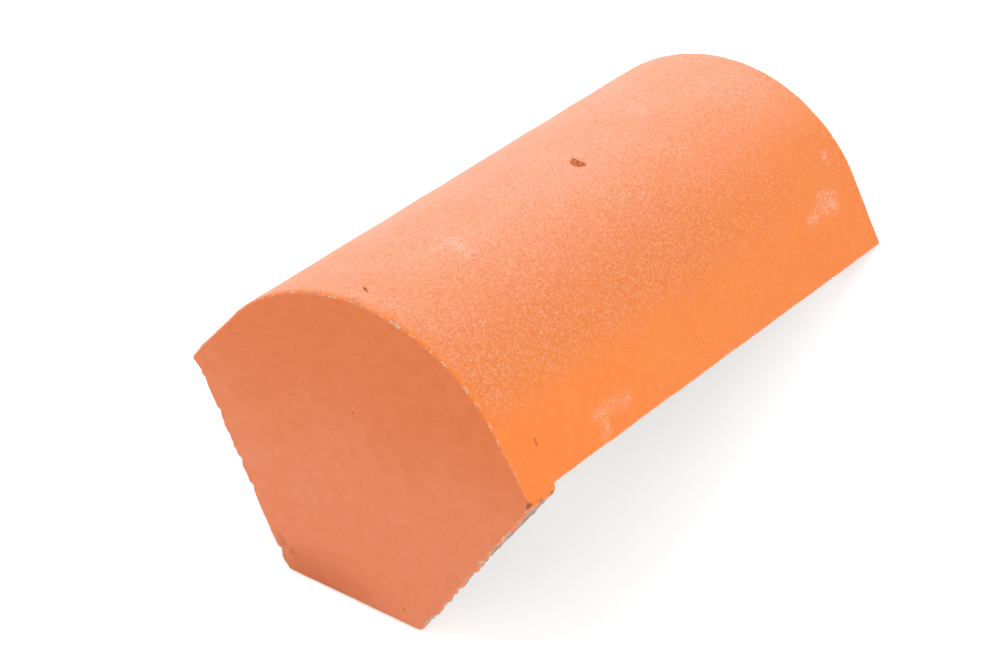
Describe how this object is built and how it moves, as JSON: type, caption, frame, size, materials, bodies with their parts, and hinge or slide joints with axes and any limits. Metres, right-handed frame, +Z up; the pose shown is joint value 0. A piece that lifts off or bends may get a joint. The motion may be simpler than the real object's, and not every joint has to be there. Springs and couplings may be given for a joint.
{
  "type": "gable end ridge tile",
  "caption": "Arched concrete ridge tile, closed at one end by a thick leaning plate that hangs below the barrel and covers the gable end.",
  "frame": {"origin": "middle of the footprint at floor level, with the tile resting on its plate's foot and the open end's corners", "axes": "+Y from the closed plate end to the open end, +Z up, X across the tile's symmetric width"},
  "size_m": [0.25, 0.4774, 0.2304],
  "materials": {
    "coated_concrete": "matt orange-terracotta coating over sand-textured concrete"
  },
  "bodies": {
    "root": {"gable_end_ridge_tile": "coated_concrete"}
  },
  "joints": []
}
